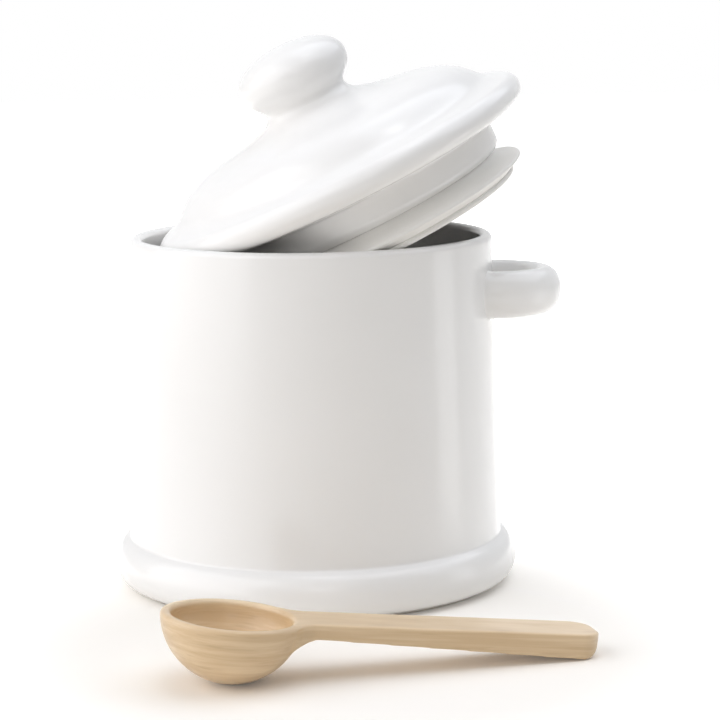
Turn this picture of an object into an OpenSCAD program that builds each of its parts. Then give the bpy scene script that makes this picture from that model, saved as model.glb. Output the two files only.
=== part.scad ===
// Porcelain sugar canister with a lift-off lid, a silicone lid seal and a wooden spoon.
// Millimetres, +Z up. The origin is the middle of the foot, on the surface it stands on.
// The lid is propped in the mouth as it is left after use, and the spoon lies in front.

/* [Canister] */
// Outer diameter at the rim
rim_d = 110; // [96:1:130]
// Height from the foot to the top of the rim
body_h = 106.5; // [85:0.5:150]
// How much wider in radius the wall is at the foot than at the rim
wall_flare = 2; // [0:0.25:4]
// Thickness of the wall, which is also the thickness of the round rim
wall = 3.8; // [3.2:0.1:5]
// Thickness of the floor
floor_t = 5.5; // [4:0.5:10]
// Radius inside, between wall and floor
floor_fillet = 8; // [3:0.5:14]

/* [Foot] */
// Height of the rolled flange round the foot
flange_h = 14.4; // [11:0.2:20]
// Reach of the flange beyond the wall
flange_out = 4.6; // [3:0.1:7]
// Height of the widest line of the flange
flange_mid = 6.9; // [5.5:0.1:8]
// Radius of the cove between flange and wall
flange_cove = 1; // [0.5:0.1:1.6]
// How far the foot ring is set in from the wall
foot_inset = 0.8; // [0.4:0.1:2]
// Width of the foot ring
foot_w = 6; // [4:0.5:9]
// Height of the shadow line between flange and surface
foot_gap = 1.3; // [0.8:0.1:2]
// Depth of the hollow under the floor
foot_hollow = 2; // [1:0.25:3]

/* [Spoon ring] */
// Radius of the middle line of the ring
ring_r = 15.8; // [14:0.2:20]
// Thickness of the ring's oval section
ring_band = 10.2; // [6:0.2:12]
// Height of the ring's oval section
ring_h = 14.2; // [10:0.2:18]
// Depth of the ring's middle below the rim
ring_drop = 17.8; // [13:0.2:40]

/* [Lid] */
// Reach of the lid's rolled edge beyond the rim
lid_over = 5.3; // [3:0.1:8]
// Radius of the lid's rolled edge
lid_roll = 4.2; // [3:0.1:5]
// Width of the sloping shoulder inside the rolled edge
shoulder_w = 11.5; // [10:0.1:15]
// Height of the shoulder's top above the middle of the rolled edge
shoulder_h = 8.9; // [7:0.1:13]
// Height of the dome at the foot of the neck
dome_h = 18.6; // [16:0.1:26]
// Height of the neck above the dome
neck_h = 4; // [1.5:0.1:5]
// Width of the neck's sweep onto the dome
neck_sweep = 6.6; // [3:0.2:9]
// Thickness of the dome
lid_wall = 4.6; // [3.5:0.1:7]
// Gap between the collar and the mouth
collar_gap = 4.2; // [2:0.1:6]
// Slope of the underside between rolled edge and collar
under_slope = 8; // [5:1:15]
// Height of the collar
collar_h = 8.4; // [6:0.1:11]
// Radius between the underside and the collar
collar_cove = 1.2; // [0.5:0.1:1.4]
// Radius on the lower edge of the collar
collar_round = 3; // [1:0.1:3.2]

/* [Lid knob] */
// Largest diameter of the knob
knob_d = 35; // [28:0.2:44]
// Diameter of the knob's neck
knob_neck_d = 26.2; // [18:0.2:27]
// Height of the knob above its neck joint
knob_h = 18.4; // [14:0.1:26]
// Height of the knob's widest line above the joint
knob_mid = 9.2; // [7:0.1:12]
// How far the knob draws in above its joint
knob_waist = 1; // [0:0.1:2]

/* [Lid seal] */
// Depth of the groove that the seal sits in, behind the collar
seal_depth = 3.3; // [2.6:0.1:4.5]
// Height of the seal in its groove
seal_h = 8.7; // [8:0.1:11]
// Gap between the seal's lip and the mouth
lip_gap = 0.8; // [0.5:0.1:2]
// Fall of the lip's tip below the seal's upper edge
lip_fall = 4.4; // [3.4:0.1:5.2]
// Radius of the lip's tip
lip_tip = 0.75; // [0.6:0.05:1]
// Radius of the seal's heel
heel_round = 1.1; // [0.8:0.1:1.8]
// Height of the bead that keeps the seal on
bead_h = 2.2; // [1.4:0.1:3]
// Reach of the bead beyond the groove
bead_out = 0.8; // [0.4:0.1:1.4]
// Thickness of the spigot's wall
spigot_wall = 4.4; // [3:0.1:6]

/* [Lid at rest] */
// Tilt of the propped lid
lid_tilt = 25.4; // [20:0.1:30]
// Direction of the tilt, turned from the ring's side
lid_turn = 6; // [-30:0.5:30]
// How far the middle of the lid lies off the canister's axis
lid_slip = 8.9; // [6:0.1:12]
// Gap left between the lid and the rim it rests on
rest_gap = 0.3; // [0.2:0.05:0.5]

/* [Spoon] */
// Outer radius of the bowl
bowl_r = 19.2; // [15:0.2:24]
// Height of the bowl's rim above the middle of its sphere
bowl_brim = -1; // [-2:0.2:1]
// Thickness of the bowl at its rim
bowl_wall = 3; // [2.2:0.1:4.4]
// Thickness of the bowl at its lowest point
bowl_floor = 4; // [2.5:0.1:6]
// Length of the handle from the middle of the bowl
handle_l = 101.6; // [80:0.2:130]
// Width of the handle
handle_w = 16; // [10:0.2:20]
// Thickness of the handle beside the bowl
handle_t = 4; // [3:0.1:6]
// Thickness of the handle at its end
handle_end_t = 7; // [5.4:0.1:9]
// Radius between handle and bowl, seen from above
handle_sweep = 7; // [4:0.5:12]
// Radius between handle and bowl, underneath
under_sweep = 10; // [2:0.5:12]
// Radius on the corners of the handle's end, seen from above
handle_corner = 4.6; // [2:0.2:4.8]
// Radius under the handle's end
handle_round = 3.6; // [1:0.1:4]
// Radius on top of the handle's end
handle_edge = 0.8; // [0.3:0.1:1.2]
// Place of the bowl to the left of the canister's axis
spoon_left = 22.4; // [0:0.1:60]
// Gap between the spoon's bowl and the canister's foot flange
spoon_gap = 36.6; // [24:0.1:80]
// Turn of the spoon, handle away from the viewer
spoon_turn = 13; // [0:0.5:18]

/* [Hidden] */
$fn = 96;
// Angle between the points of an arc, and points along a free curve
arc_step = 7.5;
curve_n = 10;
// Angle at which a rolled edge goes over into the surface beside it
crown_angle = 75;
// How far a free curve keeps its first and its last direction, as shares of its span
neck_hold = [0.7, 0.45];
dome_hold = [0.36, 0.27];
shoulder_hold = [0.2, 0.5];
roof_hold = [0.8, 0.28];
knob_low_hold = [0.3, 0.65];
knob_top_hold = [0.54, 0.38];
lip_hold = [0.4, 0.5];
porcelain = "#f4f4f2";
silicone = "#e9e8e4";
beech = "#d9b88f";

// Canister, from the rim down
rim_r = rim_d / 2;
rim_half = wall / 2;
rim_z = body_h - rim_half;
mouth_r = rim_r - wall;
wall_foot_r = rim_r + wall_flare;
flange_r = wall_foot_r + flange_out;
foot_r = wall_foot_r - foot_inset;
wall_low = flange_h + flange_cove;
floor_top = foot_hollow + floor_t;
fillet_z = floor_top + floor_fillet;
ring_z = body_h - ring_drop;

// Lid, measured from the middle of its rolled edge
lid_r = rim_r + lid_over;
roll_r = lid_r - lid_roll;
// The rolled edge ends where its slope meets the underside
roll_to = under_slope - 90;
roll_end = [roll_r + lid_roll * cos(roll_to), lid_roll * sin(roll_to)];
shoulder = [lid_r - shoulder_w, shoulder_h];
shoulder_slope = [1, -1.05];
neck_r = knob_neck_d / 2;
neck_top = dome_h + neck_h;
dome_edge = [neck_r + neck_sweep, dome_h];
dome_slope = [1, -0.33];
collar_r = mouth_r - collar_gap;
// Middle of the fillet between underside and collar
cove_r = collar_r + collar_cove;
cove_z = roll_end[1] - (roll_end[0] - cove_r) * tan(under_slope) - collar_cove / cos(under_slope);
collar_low = cove_z - collar_h;
groove_r = collar_r - seal_depth;
seal_low = collar_low - seal_h;
// Line where the spigot carries the seal, from the collar down over the bead
seal_seat = [[groove_r, collar_low], [groove_r, seal_low + bead_h],
    [groove_r + bead_out, seal_low + bead_h / 2], [groove_r + bead_out, seal_low]];
hollow_r = groove_r - spigot_wall;
lip_r = mouth_r - lip_gap;
// Slope of the step under the lip
under_lip = 45;

// Radius of the canister's outer wall at height z
function wall_at(z) = rim_r + wall_flare * (rim_z - z) / (rim_z - wall_low);

// Points of a round stretch, from one angle to another, on a circle or an ellipse
function arc(mid, r, from, to, r2 = 0) =
    let (n = max(2, ceil(abs(to - from) / arc_step)), ry = r2 == 0 ? r : r2)
    [for (i = [0 : n]) let (a = from + (to - from) * i / n) mid + [r * cos(a), ry * sin(a)]];

// Points of a free curve that leaves a towards b and reaches d from c
function curve(a, b, c, d) =
    [for (i = [0 : curve_n]) let (t = i / curve_n, u = 1 - t)
        u * u * u * a + 3 * u * u * t * b + 3 * u * t * t * c + t * t * t * d];

// Outline of the canister's section, from the foot up the outside and down the inside
function body_section() =
    let (
        flange_low = flange_mid + foot_gap / 2,
        cut_angle = -asin((flange_mid - foot_gap) / flange_low),
        inner_r = wall_at(fillet_z) - wall)
    concat(
        [[0, foot_hollow], [foot_r - foot_w - foot_hollow, foot_hollow], [foot_r - foot_w, 0]],
        [[foot_r, 0], [foot_r, foot_gap]],
        arc([wall_foot_r, flange_mid], flange_out, cut_angle, 0, flange_low),
        arc([wall_foot_r, flange_mid], flange_out, 0, crown_angle, flange_h - flange_mid),
        arc([wall_foot_r + flange_cove, wall_low], flange_cove, 180 + crown_angle, 180),
        arc([rim_r - rim_half, rim_z], rim_half, 0, 180),
        arc([inner_r - floor_fillet, fillet_z], floor_fillet, 0, -90),
        [[0, floor_top]]);

module canister_body() {
    color(porcelain)
        rotate_extrude()
            polygon(body_section());
}

// The loop is a full ring cut off where it meets the outside of the wall
module spoon_ring() {
    low = ring_z - ring_h;
    high = ring_z + ring_h;
    color(porcelain)
        difference() {
            translate([wall_at(ring_z), 0, ring_z])
                rotate_extrude()
                    translate([ring_r, 0])
                        polygon(arc([0, 0], ring_band / 2, 0, 360 - arc_step, ring_h / 2));
            rotate_extrude()
                polygon([[0, low], [wall_at(low), low], [wall_at(high), high], [0, high]]);
        }
}

// Outside of the lid, from the knob's seat to the lower end of the spigot
function lid_outside() =
    let (
        roll_top = [roll_r + lid_roll * cos(crown_angle), lid_roll * sin(crown_angle)],
        roll_slope = [sin(crown_angle), -cos(crown_angle)],
        dome_w = shoulder[0] - dome_edge[0])
    concat(
        [[0, neck_top]],
        curve([neck_r, neck_top], [neck_r, neck_top - neck_h * neck_hold[0]],
            dome_edge - neck_sweep * neck_hold[1] * dome_slope, dome_edge),
        curve(dome_edge, dome_edge + dome_w * dome_hold[0] * dome_slope,
            shoulder - dome_w * dome_hold[1] * shoulder_slope, shoulder),
        curve(shoulder, shoulder + shoulder_w * shoulder_hold[0] * shoulder_slope,
            roll_top - shoulder_w * shoulder_hold[1] * roll_slope, roll_top),
        arc([roll_r, 0], lid_roll, crown_angle, roll_to),
        arc([cove_r, cove_z], collar_cove, under_slope + 90, 180),
        arc([collar_r - collar_round, collar_low + collar_round], collar_round, 0, -90),
        seal_seat);

// Hollow underside of the lid, from the lower end of the spigot to the axis
function lid_inside() =
    let (roof = dome_h - lid_wall, lip = bead_h / 2)
    concat(
        arc([hollow_r + lip, seal_low + lip], lip, 270, 180),
        curve([hollow_r, 0], [hollow_r, roof * roof_hold[0]],
            [hollow_r * (1 - roof_hold[1]), roof], [0, roof]));

module lid_cover() {
    color(porcelain)
        on_lid()
            rotate_extrude()
                polygon(concat(lid_outside(), lid_inside()));
}

// The knob swells from its neck to its widest line and closes in a low crown
module lid_knob() {
    knob_r = knob_d / 2;
    mid_z = neck_top + knob_mid;
    top_z = neck_top + knob_h;
    color(porcelain)
        on_lid()
            rotate_extrude()
                polygon(concat(
                    [[0, neck_top]],
                    curve([neck_r, neck_top], [neck_r - knob_waist, neck_top + knob_mid * knob_low_hold[0]],
                        [knob_r, mid_z - knob_mid * knob_low_hold[1]], [knob_r, mid_z]),
                    curve([knob_r, mid_z], [knob_r, mid_z + (knob_h - knob_mid) * knob_top_hold[0]],
                        [knob_r * (1 - knob_top_hold[1]), top_z], [0, top_z])));
}

// Section of the seal: a flat bore, a lip that flares down to its tip, a step and a round heel
function seal_section() =
    let (
        root = [groove_r + seal_depth / 4, collar_low],
        tip = [lip_r - lip_tip, collar_low - lip_fall],
        lip_end = tip + lip_tip * [cos(crown_angle), sin(crown_angle)],
        lip_slope = [sin(crown_angle), -cos(crown_angle)],
        heel = [collar_r - heel_round / 2, seal_low + heel_round])
    concat(
        [for (i = [len(seal_seat) - 1 : -1 : 0]) seal_seat[i]],
        curve(root, root - [0, lip_fall * lip_hold[0]],
            lip_end - (lip_end[0] - root[0]) * lip_hold[1] * lip_slope, lip_end),
        arc(tip, lip_tip, crown_angle, -under_lip),
        arc(heel, heel_round, under_lip, -90));

module lid_seal() {
    color(silicone)
        on_lid()
            rotate_extrude()
                polygon(seal_section());
}

// Height that the lid needs so that point p of its outline, at angle a, clears the rim
function height_over_rim(p, a) =
    let (
        along = p[0] * cos(a),
        x = lid_slip + along * cos(lid_tilt) - p[1] * sin(lid_tilt),
        off_crown = norm([x, p[0] * sin(a)]) - (rim_r - rim_half),
        room = pow(rim_half + rest_gap, 2) - off_crown * off_crown)
    room < 0 ? 0 : rim_z + sqrt(room) - along * sin(lid_tilt) - p[1] * cos(lid_tilt);

// The propped lid comes down until its edge and its seal meet the rim
lid_z = max([for (p = concat(lid_outside(), seal_section())) for (a = [0 : 1 : 180]) height_over_rim(p, a)]);

module on_lid() {
    rotate([0, 0, lid_turn])
        translate([lid_slip, 0, lid_z])
            rotate([0, -lid_tilt, 0])
                children();
}

// Spoon, measured from the middle of the bowl's sphere, with its brim level and the handle along +X
handle_low = bowl_brim - handle_end_t;
handle_end = [handle_l - handle_round, handle_low + handle_round];
// Fall of the handle when the bowl and the round edge of the handle's end both touch the surface
spoon_fall = atan2(handle_end[1], handle_end[0]) + asin((bowl_r - handle_round) / norm(handle_end));

// Outside of the bowl, a ball cut off at the brim, with the brim's edge taken off
function bowl_outside() =
    let (edge = bowl_wall / 4)
    concat(
        arc([0, 0], bowl_r, -90, asin((bowl_brim - edge) / bowl_r)),
        [[bowl_r - edge, bowl_brim], [0, bowl_brim]]);

// Hollow of the bowl, opened a little at the brim
function bowl_hollow() =
    let (edge = bowl_wall / 4, hollow = bowl_r - bowl_wall)
    concat(
        [[0, bowl_brim + edge], [hollow + 2 * edge, bowl_brim + edge]],
        arc([0, bowl_brim - edge], hollow, 0, -90, bowl_r - bowl_floor + bowl_brim - edge));

// Handle from above: its sides sweep out to the bowl and its end has round corners
function handle_plan() =
    let (
        half = handle_w / 2,
        root_x = sqrt(pow(bowl_r + handle_sweep, 2) - pow(half + handle_sweep, 2)),
        meet = acos(root_x / (bowl_r + handle_sweep)),
        side = concat(
            arc([root_x, half + handle_sweep], handle_sweep, 180 + meet, 270),
            arc([handle_l - handle_corner, half - handle_corner], handle_corner, 90, 0)))
    concat([[0, bowl_r / 2]], side, [for (i = [len(side) - 1 : -1 : 0]) [side[i][0], -side[i][1]]],
        [[0, -bowl_r / 2]]);

// Handle from the side: level on top, thicker towards its end, with round ends
function handle_side() = concat(
    [[0, bowl_brim], [0, bowl_brim - handle_t], [bowl_r, bowl_brim - handle_t]],
    arc(handle_end, handle_round, -90, 0),
    arc([handle_l - handle_edge, bowl_brim - handle_edge], handle_edge, 0, 90));

// Sweep under the handle, turned about the bowl so that it runs into the ball all along
function sweep_section() =
    let (
        sweep_z = bowl_brim - handle_t - under_sweep,
        sweep_r = sqrt(pow(bowl_r + under_sweep, 2) - sweep_z * sweep_z),
        meet = atan2(-sweep_z, sweep_r))
    concat(
        [[sweep_r, bowl_brim], [0, bowl_brim], [0, -bowl_r * sin(meet)]],
        arc([sweep_r, sweep_z], under_sweep, 180 - meet, 90));

module spoon() {
    color(beech)
        translate([-spoon_left, -flange_r - spoon_gap - bowl_r, bowl_r])
            rotate([0, spoon_fall, spoon_turn])
                difference() {
                    union() {
                        rotate_extrude()
                            polygon(bowl_outside());
                        intersection() {
                            translate([0, 0, -bowl_r])
                                linear_extrude(2 * bowl_r)
                                    polygon(handle_plan());
                            union() {
                                rotate([90, 0, 0])
                                    linear_extrude(2 * bowl_r, center = true)
                                        polygon(handle_side());
                                rotate_extrude()
                                    polygon(sweep_section());
                            }
                        }
                    }
                    rotate_extrude()
                        polygon(bowl_hollow());
                }
}

canister_body();
spoon_ring();
lid_cover();
lid_knob();
lid_seal();
spoon();
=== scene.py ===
import math
import bpy
import bmesh
from mathutils import Matrix, Vector


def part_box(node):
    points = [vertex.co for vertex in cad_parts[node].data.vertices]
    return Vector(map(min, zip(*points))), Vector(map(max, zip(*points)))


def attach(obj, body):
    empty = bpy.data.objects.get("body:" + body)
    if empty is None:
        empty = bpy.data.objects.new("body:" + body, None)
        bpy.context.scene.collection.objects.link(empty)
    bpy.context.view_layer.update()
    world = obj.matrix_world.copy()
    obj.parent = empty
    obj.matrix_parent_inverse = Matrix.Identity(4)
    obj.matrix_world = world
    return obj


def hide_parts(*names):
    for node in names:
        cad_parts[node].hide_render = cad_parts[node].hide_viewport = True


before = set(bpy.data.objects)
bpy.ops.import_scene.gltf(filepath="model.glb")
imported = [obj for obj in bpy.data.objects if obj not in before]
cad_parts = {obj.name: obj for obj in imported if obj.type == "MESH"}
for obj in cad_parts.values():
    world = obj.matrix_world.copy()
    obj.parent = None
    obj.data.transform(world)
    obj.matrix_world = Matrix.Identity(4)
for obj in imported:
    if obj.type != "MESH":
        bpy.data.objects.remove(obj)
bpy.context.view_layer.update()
mm = 0.001              # pieces are sized in millimetres, the stage in metres
print("frame loaded:", ", ".join(sorted(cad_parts)))


# Working tools

wheelSteps = 160    # faces round a large turned piece
smallSteps = 128    # and round a small one
pointGap = 0.01     # nearer than this counts as the same place
weldGap = 0.004     # points of a shell nearer than this are merged


def dropSelection():
    if bpy.context.object and bpy.context.object.mode != "OBJECT":
        bpy.ops.object.mode_set(mode="OBJECT")
    bpy.ops.object.select_all(action="DESELECT")


def pickUp(piece):
    dropSelection()
    piece.select_set(True)
    bpy.context.view_layer.objects.active = piece


def roundRun(mid, radius, fromDeg, toDeg, high=None, step=4):    # an arc, of an oval where high is given
    count = max(2, math.ceil(abs(toDeg - fromDeg) / step))
    turns = [math.radians(fromDeg + (toDeg - fromDeg) * i / count) for i in range(count + 1)]
    return [(mid[0] + radius * math.cos(t), mid[1] + (high or radius) * math.sin(t)) for t in turns]


def freeRun(a, b, c, d, count=20):    # a free curve from a to d that leaves towards b and comes in from c
    run = []
    for i in range(count + 1):
        t = i / count
        u = 1 - t
        share = (u ** 3, 3 * u * u * t, 3 * u * t * t, t ** 3)
        run.append(tuple(sum(s * p[k] for s, p in zip(share, (a, b, c, d))) for k in (0, 1)))
    return run


def along(point, slope, reach):
    return (point[0] + slope[0] * reach, point[1] + slope[1] * reach)


def drawLine(name, points, flat=False):    # a line of points, upright in XZ or flat in XY
    def spot(p):
        return Vector((p[0], p[1], 0) if flat else (p[0], 0, p[1])) * mm

    kept = [points[0]]
    for p in points[1:]:
        if math.dist(p, kept[-1]) > pointGap:
            kept.append(p)
    dropSelection()
    bpy.ops.mesh.primitive_plane_add(size=mm)
    piece = bpy.context.object
    piece.name = piece.data.name = name
    bpy.ops.object.mode_set(mode="EDIT")
    bpy.ops.mesh.select_all(action="SELECT")
    bpy.ops.mesh.merge(type="CENTER")
    bpy.ops.transform.translate(value=spot(kept[0]))
    for before, after in zip(kept, kept[1:]):
        bpy.ops.mesh.extrude_region_move(TRANSFORM_OT_translate={"value": spot(after) - spot(before)})
    return piece


def weld():    # in edit mode, as closeShell starts
    bpy.ops.mesh.select_all(action="SELECT")
    bpy.ops.mesh.remove_doubles(threshold=weldGap * mm)


def closeShell():
    weld()
    bpy.ops.mesh.normals_make_consistent(inside=False)
    bpy.ops.object.mode_set(mode="OBJECT")


def turnLine(name, points, steps=wheelSteps):    # a line turned about Z, as on a potter's wheel
    piece = drawLine(name, points)
    bpy.ops.mesh.select_all(action="SELECT")
    bpy.ops.mesh.spin(steps=steps, angle=math.tau, center=(0, 0, 0), axis=(0, 0, 1))
    closeShell()
    return piece


def pushLine(name, points, reach, flat=False):    # a closed line filled and pushed to a slab
    piece = drawLine(name, points, flat)
    bpy.ops.mesh.select_all(action="SELECT")
    bpy.ops.mesh.edge_face_add()
    way = Vector((0, 0, 1) if flat else (0, 1, 0))
    bpy.ops.transform.translate(value=way * -reach * mm)
    bpy.ops.mesh.extrude_region_move(TRANSFORM_OT_translate={"value": way * 2 * reach * mm})
    closeShell()
    return piece


def addModifier(piece, kind, **settings):
    pickUp(piece)
    made = piece.modifiers.new(kind.lower(), kind)
    for key, value in settings.items():
        setattr(made, key, value)
    bpy.ops.object.modifier_apply(modifier=made.name)


def combine(piece, other, how):
    addModifier(piece, "BOOLEAN", object=other, operation=how, solver="EXACT")
    bpy.data.objects.remove(other)


def shadeSmooth(piece, angle=40):
    pickUp(piece)
    bpy.ops.object.shade_smooth_by_angle(angle=math.radians(angle))


def middleOf(corners):
    return (Vector(corners[0]) + Vector(corners[1])) / 2


def meshBox(piece):
    places = [v.co for v in piece.data.vertices]
    return [Vector(f(p[k] for p in places) for k in range(3)) for f in (min, max)]


def setDown(piece, placing):    # the place goes into the mesh
    pickUp(piece)
    piece.matrix_world = placing
    bpy.ops.object.transform_apply(location=True, rotation=True, scale=True)


def seatIn(piece, turn, box):    # turned, then moved to where the bare part's box is
    setDown(piece, turn)
    seat = Matrix.Translation(middleOf(box) - middleOf(meshBox(piece)))
    setDown(piece, seat)
    return seat @ turn


def dress(piece, body, slot, material, *nodes):
    piece.data.materials.clear()
    piece.data.materials.append(material)
    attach(piece, body)
    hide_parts(*nodes)
    print(piece.name, "done,", len(piece.data.polygons), "faces")


# Finishes

mixSockets = {"FLOAT": (2, 3, 0), "RGBA": (6, 7, 2)}    # a Mix node's two inputs and its output


def newFinish(name):
    material = bpy.data.materials.new(name)
    material.use_nodes = True
    return material, material.node_tree, material.node_tree.nodes["Principled BSDF"]


def feed(tree, socket, value):    # links an output, or sets a plain value
    if isinstance(value, bpy.types.NodeSocket):
        tree.links.new(value, socket)
    else:
        socket.default_value = value


def addNode(tree, kind, **settings):    # settings name the node's sockets or its options
    node = tree.nodes.new("ShaderNode" + kind)
    for key, value in settings.items():
        if key in node.inputs:
            feed(tree, node.inputs[key], value)
        else:
            setattr(node, key, value)
    return node


def addMath(tree, operation, first, second):
    node = addNode(tree, "Math", operation=operation)
    feed(tree, node.inputs[0], first)
    feed(tree, node.inputs[1], second)
    return node.outputs[0]


def mixPair(tree, share, first, second, kind="RGBA"):
    node = addNode(tree, "Mix", data_type=kind)
    one, two, result = mixSockets[kind]
    feed(tree, node.inputs[0], share)
    feed(tree, node.inputs[one], first)
    feed(tree, node.inputs[two], second)
    return node.outputs[result]


def mapRange(tree, value, fromPair=(0, 1), toPair=(0, 1), **settings):
    node = addNode(tree, "MapRange", Value=value, **settings)
    for side, pair in (("From", fromPair), ("To", toPair)):
        node.inputs[side + " Min"].default_value, node.inputs[side + " Max"].default_value = pair
    return node.outputs["Result"]


def addBump(tree, shader, height, finish):
    bump = addNode(tree, "Bump", Height=height, Strength=finish["ripple"], Distance=finish["deep"] * mm)
    tree.links.new(bump.outputs["Normal"], shader.inputs["Normal"])


def makeWander():    # slow change of tone and a fine ripple, for glaze and silicone
    group = bpy.data.node_groups.new("surfaceWander", "ShaderNodeTree")
    for name, kind in (("Broad Scale", "Float"), ("Fine Scale", "Float"), ("Vector", "Vector")):
        group.interface.new_socket(name, in_out="INPUT", socket_type="NodeSocket" + kind)
    for name in ("Tone", "Ripple"):
        group.interface.new_socket(name, in_out="OUTPUT", socket_type="NodeSocketFloat")
    entry = group.nodes.new("NodeGroupInput").outputs
    leave = group.nodes.new("NodeGroupOutput").inputs
    broad = addNode(group, "TexNoise", Vector=entry["Vector"], Scale=entry["Broad Scale"],
                    Detail=2.0, Roughness=0.5)
    fine = addNode(group, "TexNoise", Vector=entry["Vector"], Scale=entry["Fine Scale"],
                   Detail=3.0, Roughness=0.55)
    mostly = (0.3, 0.7)    # the noise seldom goes past these
    group.links.new(mapRange(group, broad.outputs["Fac"], mostly), leave["Tone"])
    group.links.new(fine.outputs["Fac"], leave["Ripple"])
    return group


wander = makeWander()


def addWander(tree, where, finish):
    change = addNode(tree, "Group", node_tree=wander)
    change.inputs["Broad Scale"].default_value = finish["broad"]
    change.inputs["Fine Scale"].default_value = finish["fine"]
    tree.links.new(where, change.inputs["Vector"])
    return change.outputs["Tone"], change.outputs["Ripple"]


glaze = {
    "thick": (0.922, 0.913, 0.897, 1), "thin": (0.892, 0.883, 0.865, 1), "smooth": 0.13, "dull": 0.22,
    "broad": 16.0, "fine": 70.0, "ripple": 0.04, "deep": 1.0, "ior": 1.5,
    "bare": (0.80, 0.77, 0.71, 1), "bareRough": 0.75, "bareBelow": 0.35, "bareBlend": 1.4,
}


def makeGlaze():
    material, tree, shader = newFinish("whiteGlaze")
    where = addNode(tree, "TexCoord").outputs["Object"]
    tone, ripple = addWander(tree, where, glaze)
    height = addNode(tree, "SeparateXYZ", Vector=where).outputs["Z"]
    bareFrom = glaze["bareBelow"] * glaze["bareBlend"] * mm    # the foot ring is wiped clean of glaze
    bare = mapRange(tree, height, (bareFrom, glaze["bareBelow"] * mm))
    colour = mixPair(tree, bare, mixPair(tree, tone, glaze["thin"], glaze["thick"]), glaze["bare"])
    tree.links.new(colour, shader.inputs["Base Color"])
    gloss = mapRange(tree, ripple, toPair=(glaze["smooth"], glaze["dull"]))
    rough = mixPair(tree, bare, gloss, glaze["bareRough"], "FLOAT")
    tree.links.new(rough, shader.inputs["Roughness"])
    addBump(tree, shader, ripple, glaze)
    shader.inputs["IOR"].default_value = glaze["ior"]
    return material


silicone = {
    "light": (0.91, 0.895, 0.86, 1), "dark": (0.86, 0.845, 0.81, 1), "smooth": 0.38, "dull": 0.55,
    "broad": 45.0, "fine": 900.0, "ripple": 0.12, "deep": 0.2, "ior": 1.42,
}


def makeSilicone():
    material, tree, shader = newFinish("paleSilicone")
    where = addNode(tree, "TexCoord").outputs["Object"]
    tone, ripple = addWander(tree, where, silicone)
    colour = mixPair(tree, tone, silicone["dark"], silicone["light"])
    tree.links.new(colour, shader.inputs["Base Color"])
    rough = mapRange(tree, ripple, toPair=(silicone["smooth"], silicone["dull"]))
    tree.links.new(rough, shader.inputs["Roughness"])
    addBump(tree, shader, ripple, silicone)
    shader.inputs["IOR"].default_value = silicone["ior"]
    return material


whiteGlaze = makeGlaze()
paleSilicone = makeSilicone()
print("glaze and silicone mixed")


# Canister: flared wall, round rim, rolled foot flange

crown = 75    # degrees at which a rolled edge runs into the next surface
canister = {
    "rim": 55.0, "height": 106.5, "flare": 2.0, "wall": 3.8, "floor": 5.5, "floorFillet": 8.0,
    "flangeTop": 14.4, "flangeOut": 4.6, "flangeMid": 6.9, "cove": 1.0, "rollUnder": 0.77,
    "footInset": 0.8, "footWidth": 6.0, "footGap": 1.3, "footHollow": 2.0,
    "footEdge": 0.4, "edgeAngle": 35, "edgeFaces": 3,
}
rimHalf = canister["wall"] / 2
rimTop = canister["height"] - rimHalf
wallLow = canister["flangeTop"] + canister["cove"]


def wallAt(z):
    return canister["rim"] + canister["flare"] * (rimTop - z) / (rimTop - wallLow)


def canisterLine():
    pot = canister
    wallFoot = pot["rim"] + pot["flare"]
    foot = wallFoot - pot["footInset"]
    flange = (wallFoot, pot["flangeMid"])
    low = pot["flangeMid"] - pot["footGap"] * pot["rollUnder"]    # rolls under more than the bare part
    cut = -math.degrees(math.asin((pot["flangeMid"] - pot["footGap"]) / low))
    floorTop = pot["footHollow"] + pot["floor"]
    bend = floorTop + pot["floorFillet"]
    inner = wallAt(bend) - pot["wall"]
    line = [(0, pot["footHollow"]), (foot - pot["footWidth"] - pot["footHollow"], pot["footHollow"])]
    line += [(foot - pot["footWidth"], 0), (foot, 0), (foot, pot["footGap"])]
    line += roundRun(flange, pot["flangeOut"], cut, 0, low)
    line += roundRun(flange, pot["flangeOut"], 0, crown, pot["flangeTop"] - pot["flangeMid"])
    line += roundRun((wallFoot + pot["cove"], wallLow), pot["cove"], 180 + crown, 180, step=12)
    line += roundRun((pot["rim"] - rimHalf, rimTop), rimHalf, 0, 180, step=9)
    line += roundRun((inner - pot["floorFillet"], bend), pot["floorFillet"], 0, -90)
    return line + [(0, floorTop)]


def makeCanister():
    piece = turnLine("canisterWall", canisterLine())
    addModifier(piece, "BEVEL", width=canister["footEdge"] * mm, segments=canister["edgeFaces"],
                limit_method="ANGLE", angle_limit=math.radians(canister["edgeAngle"]))
    shadeSmooth(piece)
    dress(piece, "canister", "porcelain", whiteGlaze, "canister_body")


makeCanister()


# Loop for the spoon: a bent oval roll with its two ends luted to the wall

loop = {
    "radius": 15.8, "band": 10.2, "height": 14.2, "drop": 17.8, "spread": 0.4, "rings": 5,
    "sides": 56, "bends": 72,
}


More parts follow.
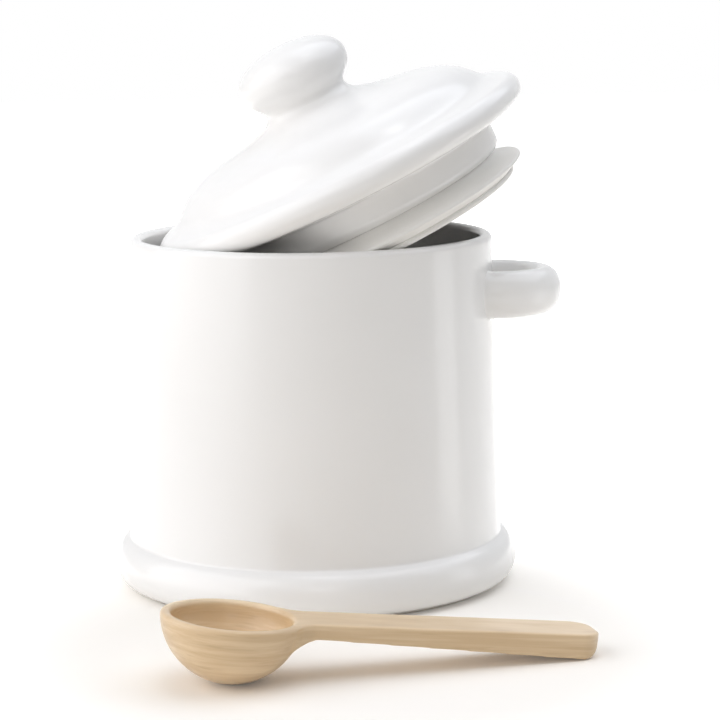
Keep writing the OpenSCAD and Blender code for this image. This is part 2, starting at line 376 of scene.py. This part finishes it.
def spreadRoot(piece, side, level, centre):    # grows an open end onto the wall in a round flare
    mesh = bmesh.from_edit_mesh(piece.data)
    root = Vector((0, side * loop["radius"] * mm, 0))
    for edge in mesh.edges:
        atRoot = all(abs(v.co.x) < pointGap * mm and v.co.y * side > 0 for v in edge.verts)
        edge.select_set(edge.is_boundary and atRoot)
    bmesh.update_edit_mesh(piece.data)
    lastWide, lastTall = 1.0, 1.0
    for k in range(1, loop["rings"] + 1):
        turn = math.pi / 2 * k / loop["rings"]
        flare = loop["spread"] * (1 - math.cos(turn))
        wide = 1 + flare / (loop["band"] / 2)
        tall = 1 + flare / (loop["height"] / 2)
        bpy.ops.mesh.extrude_edges_move()
        bpy.ops.transform.resize(value=(1, wide / lastWide, tall / lastTall), center_override=root)
        lastWide, lastTall = wide, tall
        mesh = bmesh.from_edit_mesh(piece.data)
        for vert in mesh.verts:
            if vert.select:
                reach = wallAt(level + vert.co.z / mm) * mm
                wallX = math.sqrt(reach ** 2 - vert.co.y ** 2) - centre * mm
                vert.co.x = wallX * math.sin(turn)
        bmesh.update_edit_mesh(piece.data)
    bpy.ops.mesh.edge_face_add()


def makeLoop():
    level = canister["height"] - loop["drop"]
    centre = wallAt(level)
    dropSelection()
    start = Vector((0, -loop["radius"] * mm, 0))
    bpy.ops.mesh.primitive_circle_add(vertices=loop["sides"], radius=mm / 2, location=start,
                                      rotation=(0, math.pi / 2, 0))
    piece = bpy.context.object
    piece.name = piece.data.name = "spoonLoop"
    bpy.ops.object.transform_apply(location=True, rotation=True)
    bpy.ops.object.mode_set(mode="EDIT")
    bpy.ops.mesh.select_all(action="SELECT")
    bpy.ops.transform.resize(value=(1, loop["band"], loop["height"]), center_override=start)
    bpy.ops.mesh.spin(steps=loop["bends"], angle=-math.pi, center=(0, 0, 0), axis=(0, 0, 1))
    weld()
    for side in (-1, 1):
        spreadRoot(piece, side, level, centre)
    closeShell()
    setDown(piece, Matrix.Translation((centre * mm, 0, level * mm)))
    shadeSmooth(piece)
    dress(piece, "canister", "porcelain", whiteGlaze, "spoon_ring")


makeLoop()


# Lid: dome, shoulder, rolled edge, collar and spigot, turned in one piece
# A hold says how far the end of a free curve keeps to its slope

lid = {
    "edge": 60.3, "roll": 4.2, "shoulderWidth": 11.5, "shoulderHeight": 8.9, "domeHeight": 18.6,
    "neckHeight": 4.0, "neckSweep": 6.6, "neck": 13.1, "wall": 4.6, "underSlope": 8.0,
    "collar": 47.0, "collarHeight": 8.4, "collarCove": 1.2, "collarRound": 3.0,
    "groove": 43.7, "spigotWall": 4.4, "sealHeight": 8.7, "beadHeight": 2.2, "beadOut": 0.8,
    "domeFall": 0.33, "shoulderFall": 1.05, "neckHold": 0.9, "sweepHold": 0.45,
    "domeHold": (0.36, 0.27), "shoulderHold": (0.2, 0.5), "hollowHold": (0.8, 0.72),
    "tilt": 25.4, "turn": 6.0, "shade": 50,
}
knob = {
    "widest": 17.5, "height": 18.4, "middle": 9.2, "waist": 1.0,
    "lowHold": 0.3, "midHold": 0.65, "topHold": (0.54, 0.62),
}
neckTop = lid["domeHeight"] + lid["neckHeight"]
underSlope = math.radians(lid["underSlope"])
rollEnd = math.radians(lid["underSlope"] - 90)
coveR = lid["collar"] + lid["collarCove"]
underRun = lid["edge"] - lid["roll"] + lid["roll"] * math.cos(rollEnd) - coveR
coveZ = (lid["roll"] * math.sin(rollEnd) - underRun * math.tan(underSlope)
         - lid["collarCove"] / math.cos(underSlope))
collarLow = coveZ - lid["collarHeight"]
sealLow = collarLow - lid["sealHeight"]
beadR = lid["groove"] + lid["beadOut"]
sealSeat = [
    (lid["groove"], collarLow), (lid["groove"], sealLow + lid["beadHeight"]),
    (beadR, sealLow + lid["beadHeight"] / 2), (beadR, sealLow),
]
lidTurn = (Matrix.Rotation(math.radians(lid["turn"]), 4, "Z")
           @ Matrix.Rotation(math.radians(-lid["tilt"]), 4, "Y"))


def lidLine():
    neck = (lid["neck"], neckTop)
    neckSlope = (knob["waist"], -knob["middle"] * knob["lowHold"])    # runs on from the knob, no crease
    edge = (lid["neck"] + lid["neckSweep"], lid["domeHeight"])
    shoulder = (lid["edge"] - lid["shoulderWidth"], lid["shoulderHeight"])
    roll = lid["edge"] - lid["roll"]
    top = math.radians(crown)
    rollTop = (roll + lid["roll"] * math.cos(top), lid["roll"] * math.sin(top))
    domeSlope, shoulderSlope = (1, -lid["domeFall"]), (1, -lid["shoulderFall"])
    rollSlope = (math.sin(top), -math.cos(top))
    line = [(0, neckTop)]
    line += freeRun(neck, along(neck, neckSlope, lid["neckHold"]),
                    along(edge, domeSlope, -lid["neckSweep"] * lid["sweepHold"]), edge)
    wide = shoulder[0] - edge[0]
    line += freeRun(edge, along(edge, domeSlope, wide * lid["domeHold"][0]),
                    along(shoulder, shoulderSlope, -wide * lid["domeHold"][1]), shoulder)
    wide = lid["shoulderWidth"]
    line += freeRun(shoulder, along(shoulder, shoulderSlope, wide * lid["shoulderHold"][0]),
                    along(rollTop, rollSlope, -wide * lid["shoulderHold"][1]), rollTop)
    line += roundRun((roll, 0), lid["roll"], crown, lid["underSlope"] - 90)
    line += roundRun((coveR, coveZ), lid["collarCove"], lid["underSlope"] + 90, 180, step=10)
    bend = lid["collarRound"]
    line += roundRun((lid["collar"] - bend, collarLow + bend), bend, 0, -90)
    line += sealSeat
    hollow = lid["groove"] - lid["spigotWall"]
    lip = lid["beadHeight"] / 2
    line += roundRun((hollow + lip, sealLow + lip), lip, 270, 180, step=15)
    roof = lid["domeHeight"] - lid["wall"]
    wallHold, roofHold = lid["hollowHold"]
    return line + freeRun((hollow, 0), (hollow, roof * wallHold), (hollow * roofHold, roof), (0, roof))


def makeLid():
    piece = turnLine("lidCover", lidLine())
    shadeSmooth(piece, lid["shade"])
    place = seatIn(piece, lidTurn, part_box("lid_cover"))    # propped as the bare lid is
    dress(piece, "lid", "porcelain", whiteGlaze, "lid_cover")
    return place


lidPlace = makeLid()


def makeKnob():
    neck = (lid["neck"], neckTop)
    low = (lid["neck"] - knob["waist"], neckTop + knob["middle"] * knob["lowHold"])
    wide, middle, top = knob["widest"], neckTop + knob["middle"], neckTop + knob["height"]
    rise = knob["height"] - knob["middle"]
    sideHold, topHold = knob["topHold"]
    line = [(0, neckTop)]
    line += freeRun(neck, low, (wide, middle - knob["middle"] * knob["midHold"]), (wide, middle))
    line += freeRun((wide, middle), (wide, middle + rise * sideHold), (wide * topHold, top), (0, top))
    piece = turnLine("lidKnob", line, smallSteps)
    shadeSmooth(piece, lid["shade"])
    setDown(piece, lidPlace)
    dress(piece, "lid", "porcelain", whiteGlaze, "lid_knob")


makeKnob()


# Seal: a silicone ring with a lip that flares to the mouth

seal = {
    "lip": 50.4, "lipFall": 4.4, "lipTip": 0.75, "lipHold": (0.4, 0.5), "heelRound": 1.1, "depth": 3.3,
    "stepSlope": 45, "spring": 1.2, "springSpan": 65, "shade": 35,
}


def springLip(piece):    # where nothing presses on it the soft lip stands further out
    span = math.radians(seal["springSpan"])
    for vert in piece.data.vertices:
        out = math.hypot(vert.co.x, vert.co.y)
        part = max(0, out / mm - lid["collar"]) / (seal["lip"] - lid["collar"])
        turn = min(abs(math.atan2(vert.co.y, vert.co.x)) / span, 1)
        wider = 1 + seal["spring"] * mm / out * part * (0.5 + 0.5 * math.cos(math.pi * turn))
        vert.co.x, vert.co.y = vert.co.x * wider, vert.co.y * wider


def sealLine():
    root = (lid["groove"] + seal["depth"] / 4, collarLow)
    tip = (seal["lip"] - seal["lipTip"], collarLow - seal["lipFall"])
    top = math.radians(crown)
    lipEnd = (tip[0] + seal["lipTip"] * math.cos(top), tip[1] + seal["lipTip"] * math.sin(top))
    lipSlope = (math.sin(top), -math.cos(top))
    heel = (lid["collar"] - seal["heelRound"] / 2, sealLow + seal["heelRound"])
    rootHold, lipHold = seal["lipHold"]
    line = list(reversed(sealSeat))
    line += freeRun(root, (root[0], root[1] - seal["lipFall"] * rootHold),
                    along(lipEnd, lipSlope, -(lipEnd[0] - root[0]) * lipHold), lipEnd)
    line += roundRun(tip, seal["lipTip"], crown, -seal["stepSlope"], step=12)
    line += roundRun(heel, seal["heelRound"], seal["stepSlope"], -90, step=9)
    return line + line[:1]


def makeSeal():
    piece = turnLine("lidSeal", sealLine())
    springLip(piece)
    shadeSmooth(piece, seal["shade"])
    setDown(piece, lidPlace)
    dress(piece, "lid", "silicone", paleSilicone, "lid_seal")


makeSeal()


# Spoon: turned bowl, sawn handle, edges sanded soft

beech = {
    "pale": (0.80, 0.615, 0.39, 1), "tan": (0.665, 0.475, 0.27, 1), "fleck": (0.42, 0.26, 0.12, 1),
    "stretch": (0.035, 0.16, 1), "ring": 520.0, "broad": 60.0, "streak": (0.84, 1.14),
    "dash": (0.07, 0.22, 1), "fleckScale": 900.0, "fleckFrom": (0.6, 0.74), "fleckShare": 0.26,
    "smooth": 0.35, "dull": 0.5, "ripple": 0.15, "deep": 0.2, "oil": 0.5, "oilRough": 0.22,
}


def makeBeech(place):
    material, tree, shader = newFinish("lightBeech")
    where = addNode(tree, "TexCoord").outputs["Object"]
    lay = addNode(tree, "Mapping", vector_type="TEXTURE", Vector=where, Location=place.to_translation(),
                  Rotation=place.to_euler()).outputs["Vector"]    # grain runs along the handle
    layers = addNode(tree, "Mapping", Vector=lay, Scale=beech["stretch"]).outputs["Vector"]    # flat-sawn
    rings = addNode(tree, "TexNoise", Vector=layers, Scale=beech["ring"], Detail=4.0, Roughness=0.6)
    broad = addNode(tree, "TexNoise", Vector=layers, Scale=beech["broad"], Detail=2.0)
    blend = addMath(tree, "ADD", rings.outputs["Fac"], broad.outputs["Fac"])
    tone = mixPair(tree, mapRange(tree, blend, beech["streak"]), beech["pale"], beech["tan"])
    dashes = addNode(tree, "Mapping", Vector=lay, Scale=beech["dash"]).outputs["Vector"]
    flecks = addNode(tree, "TexNoise", Vector=dashes, Scale=beech["fleckScale"], Detail=2.0).outputs["Fac"]
    mask = mapRange(tree, flecks, beech["fleckFrom"], (0, beech["fleckShare"]))
    tree.links.new(mixPair(tree, mask, tone, beech["fleck"]), shader.inputs["Base Color"])
    rough = mapRange(tree, rings.outputs["Fac"], toPair=(beech["smooth"], beech["dull"]))
    tree.links.new(rough, shader.inputs["Roughness"])
    addBump(tree, shader, flecks, beech)
    shader.inputs["Coat Weight"].default_value = beech["oil"]    # sheen seen along the flat top
    shader.inputs["Coat Roughness"].default_value = beech["oilRough"]
    return material


spoon = {
    "bowl": 19.2, "brim": -1.0, "wall": 3.0, "floor": 4.0, "length": 101.6, "width": 16.0,
    "rootThick": 4.0, "endThick": 7.0, "planSweep": 7.0, "underSweep": 10.0, "corner": 6.2,
    "endRound": 3.6, "endSoft": 5.0, "endEdge": 0.8, "turn": 13.0,
    "grit": 0.42, "sanding": 8, "sandShare": 0.5,
}
handleEnd = (spoon["length"] - spoon["endRound"], spoon["brim"] - spoon["endThick"] + spoon["endRound"])
handleFall = (math.atan2(handleEnd[1], handleEnd[0])    # lies on its bowl and the end of its handle
              + math.asin((spoon["bowl"] - spoon["endRound"]) / math.hypot(*handleEnd)))
spoonTurn = Matrix.Rotation(math.radians(spoon["turn"]), 4, "Z") @ Matrix.Rotation(handleFall, 4, "Y")


def handlePlan():
    half, sweep, bowl, corner = spoon["width"] / 2, spoon["planSweep"], spoon["bowl"], spoon["corner"]
    rootX = math.sqrt((bowl + sweep) ** 2 - (half + sweep) ** 2)
    meet = math.degrees(math.acos(rootX / (bowl + sweep)))
    side = roundRun((rootX, half + sweep), sweep, 180 + meet, 270)
    side += roundRun((spoon["length"] - corner, half - corner), corner, 90, 0)
    return [(0, bowl / 2)] + side + [(x, -y) for x, y in reversed(side)] + [(0, -bowl / 2)]


def handleSide():
    brim, soft, edge = spoon["brim"], spoon["endSoft"], spoon["endEdge"]
    line = [(0, brim), (0, brim - spoon["rootThick"]), (spoon["bowl"], brim - spoon["rootThick"])]
    line += roundRun((spoon["length"] - soft, brim - spoon["endThick"] + soft), soft, -90, 0)
    return line + roundRun((spoon["length"] - edge, brim - edge), edge, 0, 90, step=15)


def sweepLine():
    low = spoon["brim"] - spoon["rootThick"] - spoon["underSweep"]
    out = math.sqrt((spoon["bowl"] + spoon["underSweep"]) ** 2 - low ** 2)
    meet = math.atan2(-low, out)
    line = [(0, -spoon["bowl"] * math.sin(meet))]
    line += roundRun((out, low), spoon["underSweep"], 180 - math.degrees(meet), 90)
    return line + [(out, spoon["brim"]), (0, spoon["brim"])]


def makeSpoon():
    bowl, brim, edge = spoon["bowl"], spoon["brim"], spoon["wall"] / 4
    piece = pushLine("sugarSpoon", handlePlan(), bowl, flat=True)
    side = pushLine("handleSide", handleSide(), bowl)
    combine(side, turnLine("handleSweep", sweepLine(), smallSteps), "UNION")
    combine(piece, side, "INTERSECT")
    ball = roundRun((0, 0), bowl, -90, math.degrees(math.asin((brim - edge) / bowl)), step=3)
    ball += [(bowl - edge, brim), (0, brim)]
    combine(piece, turnLine("bowlBall", ball, smallSteps), "UNION")
    inner = bowl - spoon["wall"]
    hollow = [(0, brim + edge), (inner + 2 * edge, brim + edge)]
    hollow += roundRun((0, brim - edge), inner, 0, -90, bowl - spoon["floor"] + brim - edge, step=3)
    combine(piece, turnLine("bowlHollow", hollow, smallSteps), "DIFFERENCE")
    addModifier(piece, "REMESH", mode="VOXEL", voxel_size=spoon["grit"] * mm)
    addModifier(piece, "SMOOTH", factor=spoon["sandShare"], iterations=spoon["sanding"])
    pickUp(piece)
    bpy.ops.object.shade_smooth()
    place = seatIn(piece, spoonTurn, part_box("spoon"))
    dress(piece, "spoon", "beech", makeBeech(place), "spoon")


makeSpoon()


# Stage: white floor, soft lamps, camera

# lift, middle, fadeFrom and fadeTo paint light onto the floor: a glow that washes out lamp shadows away
# from the foot and spoon
stage = {
    "floor": 6.0, "below": 0.00005, "paper": (0.985, 0.95, 0.895, 1), "middle": (0.01, -0.085, 0),
    "lift": 0.07, "fadeFrom": 0.065, "fadeTo": 0.19, "sky": 0.02, "skyTint": (1.0, 0.99, 0.97, 1),
    "aim": (0, 0, 0.07),
}


def seenDirectly(tree):    # 1 for rays that show the stage itself
    path = addNode(tree, "LightPath").outputs
    first = addMath(tree, "MAXIMUM", path["Is Camera Ray"], path["Is Glossy Ray"])
    return addMath(tree, "MAXIMUM", first, path["Is Transmission Ray"])


def makeFloor():
    dropSelection()
    bpy.ops.mesh.primitive_plane_add(size=stage["floor"], location=(0, 0, -stage["below"]))
    floor = bpy.context.object
    floor.name = "floor"
    material, tree, shader = newFinish("whitePaper")
    tree.nodes.remove(shader)
    where = addNode(tree, "TexCoord").outputs["Object"]
    away = addNode(tree, "VectorMath", operation="DISTANCE")
    away.inputs[1].default_value = stage["middle"]
    tree.links.new(where, away.inputs[0])
    paintedLift = mapRange(tree, away.outputs["Value"], (stage["fadeFrom"], stage["fadeTo"]), (stage["lift"], 1),
                    interpolation_type="SMOOTHSTEP")    # painted light: a glow seen by the camera and in reflections, faint near the middle point and plain white further out, lifts lamp shadows on the floor out there
    paper = addNode(tree, "BsdfDiffuse", Color=stage["paper"])
    glow = addNode(tree, "Emission", Strength=addMath(tree, "MULTIPLY", seenDirectly(tree), paintedLift))
    both = addNode(tree, "AddShader")
    tree.links.new(paper.outputs[0], both.inputs[0])
    tree.links.new(glow.outputs[0], both.inputs[1])
    tree.links.new(both.outputs[0], tree.nodes["Material Output"].inputs["Surface"])
    floor.data.materials.append(material)


def makeSky():
    world = bpy.data.worlds.new("studio")
    bpy.context.scene.world = world
    world.use_nodes = True
    tree = world.node_tree
    tree.nodes.clear()
    plain = addNode(tree, "Background", Color=stage["skyTint"], Strength=stage["sky"])
    white = addNode(tree, "Background", Color=(1, 1, 1, 1), Strength=1.0)
    pick = addNode(tree, "MixShader")
    tree.links.new(seenDirectly(tree), pick.inputs[0])
    tree.links.new(plain.outputs[0], pick.inputs[1])
    tree.links.new(white.outputs[0], pick.inputs[2])
    addNode(tree, "OutputWorld", Surface=pick.outputs[0])


lamps = {    # places and sizes in metres, power in watts
    "leftBox": {
        "place": (-1.35, -0.4, 0.6), "size": (2.2, 2.2), "power": 28.0, "tint": (0.975, 0.975, 1.0),
    },
    "rightTop": {
        "place": (0.62, 0.22, 1.6), "size": (2.2, 2.2), "power": 21.8, "tint": (0.9, 0.932, 1.0),
    },
    "topBox": {
        "place": (0, 0.1, 1.7), "size": (2.4, 2.4), "power": 3.0, "tint": (0.9, 0.932, 1.0),
    },
    "frontBox": {
        "place": (-0.2, -1.4, 1.4), "size": (1.6, 1.6), "power": 5.3, "tint": (1.0, 0.985, 0.965),
    },
    "frontStrip": {
        "place": (0.06, -1.3, 0.5), "size": (0.4, 0.08), "power": 0.55, "tint": (1.0, 0.99, 0.98),
    },
    "highSpot": {
        "place": (0.06, -0.09, 1.3), "size": (0.16, 0.22), "power": 0.45, "tint": (0.97, 0.98, 1.0),
    },
    "sideCard": {
        "place": (0.21, -0.038, 0.05), "size": (0.06, 0.11), "power": 0.031, "tint": (0.98, 0.99, 1.0),
    },
}


def makeLamps():
    aim = Vector(stage["aim"])
    for name, lamp in lamps.items():
        light = bpy.data.lights.new(name, "AREA")
        light.shape = "RECTANGLE"
        light.size, light.size_y = lamp["size"]
        light.energy = lamp["power"]
        light.color = lamp["tint"]
        box = bpy.data.objects.new(name, light)
        bpy.context.scene.collection.objects.link(box)
        box.location = lamp["place"]
        box.rotation_euler = (aim - box.location).to_track_quat("-Z", "Y").to_euler()


view = {
    "place": (0, -0.7579, 0.1848), "yaw": 1.09, "down": 8.81, "roll": -0.79,
    "lens": 125.0, "sensor": 36.0,
}


def makeCamera():
    yaw, down, roll = (math.radians(view[k]) for k in ("yaw", "down", "roll"))
    ahead = Vector((math.sin(yaw) * math.cos(down), math.cos(yaw) * math.cos(down), -math.sin(down)))
    level = Vector((math.cos(yaw), -math.sin(yaw), 0))
    upright = level.cross(ahead)
    right = level * math.cos(roll) + upright * math.sin(roll)
    top = upright * math.cos(roll) - level * math.sin(roll)
    turn = Matrix((right, top, -ahead)).transposed().to_4x4()
    data = bpy.data.cameras.new("camera")
    data.lens, data.sensor_width = view["lens"], view["sensor"]
    camera = bpy.data.objects.new("camera", data)
    bpy.context.scene.collection.objects.link(camera)
    camera.matrix_world = Matrix.Translation(view["place"]) @ turn
    bpy.context.scene.camera = camera


makeFloor()
makeSky()
makeLamps()
makeCamera()
bpy.context.scene.view_settings.view_transform = "Standard"
print("stage set")
